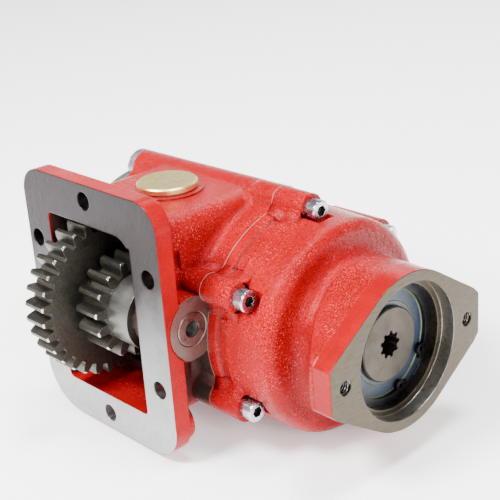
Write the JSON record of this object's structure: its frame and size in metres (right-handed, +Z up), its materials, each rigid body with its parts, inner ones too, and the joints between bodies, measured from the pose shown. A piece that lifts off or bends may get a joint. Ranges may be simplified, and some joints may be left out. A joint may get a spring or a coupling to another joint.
{
  "type": "power take off unit",
  "caption": "Side-mounted gearbox power take off: idler gear through a bolted aperture flange drives a splined output in a pump flange, engaged by an air-shifted sliding gear.",
  "frame": {"origin": "centre of the pilot bore, on the pump face", "axes": "+X along the output shaft, out of the pump face; -Y is the outward normal of the aperture face that bolts to the gearbox; +Z is up, along the long side of the aperture flange"},
  "size_m": [0.2374, 0.1979, 0.1647],
  "materials": {
    "painted_casting": "glossy bright red paint over a sand-cast surface, bare ground metal on the machined faces",
    "cast_aluminium": "plain machined aluminium",
    "gasket": "dark pressed fibre",
    "zinc_steel": "bright zinc plating with a blue tint",
    "bearing_steel": "hard polished steel",
    "ground_steel": "ground steel",
    "gear_steel": "oiled dark gear steel with bright bevels",
    "brass": "pale machined brass",
    "seal_rubber": "dark blue moulded rubber",
    "black_rubber": "black rubber",
    "black_steel": "blackened spring steel"
  },
  "bodies": {
    "housing": {"main_housing": "painted_casting", "front_cover": "painted_casting", "cover_gasket": "gasket", "rear_cover": "cast_aluminium", "rear_cover_gasket": "gasket", "cover_screws": "zinc_steel", "rear_cover_screws": "zinc_steel", "cover_dowels": "bearing_steel", "access_plug": "brass", "plug_washer": "gasket", "port_plug": "zinc_steel", "idler_pin": "ground_steel", "idler_pin_ring": "black_rubber", "idler_thrust_washers": "ground_steel", "front_bearing_outer": "bearing_steel", "front_bearing_seal": "seal_rubber", "bearing_circlip": "black_steel", "rear_bearing_outer": "bearing_steel"},
    "idler": {"idler_gear": "gear_steel"},
    "idler_rollers": {"idler_needle_cage": "ground_steel", "idler_needles": "bearing_steel"},
    "output": {"output_shaft": "ground_steel", "front_bearing_inner": "bearing_steel", "rear_bearing_inner": "bearing_steel", "shaft_circlip": "black_steel"},
    "front_ball_set": {"front_bearing_balls": "bearing_steel", "front_bearing_cage": "ground_steel"},
    "rear_ball_set": {"rear_bearing_balls": "bearing_steel", "rear_bearing_cage": "ground_steel"},
    "slider": {"sliding_gear": "gear_steel"},
    "shifter": {"shift_rod": "ground_steel", "shift_fork": "gear_steel", "fork_pin": "bearing_steel", "shift_piston": "cast_aluminium", "piston_ring": "black_rubber", "piston_nut": "zinc_steel"}
  },
  "joints": [
    {"name": "idler_spin", "type": "hinge", "parent": "housing", "child": "idler", "pos_m": [-0.15835, -0.07733, 0.0149], "axis": [1, 0, 0], "continuous": true},
    {"name": "idler_rollers_spin", "type": "hinge", "parent": "housing", "child": "idler_rollers", "pos_m": [-0.15835, -0.07733, 0.0149], "axis": [1, 0, 0], "continuous": true},
    {"name": "output_spin", "type": "hinge", "parent": "housing", "child": "output", "pos_m": [-0.1, 0, 0], "axis": [1, 0, 0], "continuous": true},
    {"name": "front_balls_spin", "type": "hinge", "parent": "housing", "child": "front_ball_set", "pos_m": [-0.025, 0, 0], "axis": [1, 0, 0], "continuous": true},
    {"name": "rear_balls_spin", "type": "hinge", "parent": "housing", "child": "rear_ball_set", "pos_m": [-0.2055, 0, 0], "axis": [1, 0, 0], "continuous": true},
    {"name": "gear_slide", "type": "slide", "parent": "output", "child": "slider", "axis": [1, 0, 0], "range_m": [0, 0.0213]},
    {"name": "rod_slide", "type": "slide", "parent": "housing", "child": "shifter", "axis": [1, 0, 0], "range_m": [0, 0.0213]}
  ],
  "couplings": [
    {"joint": "idler_spin", "follows": "output_spin", "ratio": -1.8125},
    {"joint": "idler_rollers_spin", "follows": "output_spin", "ratio": -1.0543},
    {"joint": "front_balls_spin", "follows": "output_spin", "ratio": 0.4275},
    {"joint": "rear_balls_spin", "follows": "output_spin", "ratio": 0.3972},
    {"joint": "rod_slide", "follows": "gear_slide", "ratio": 1}
  ]
}
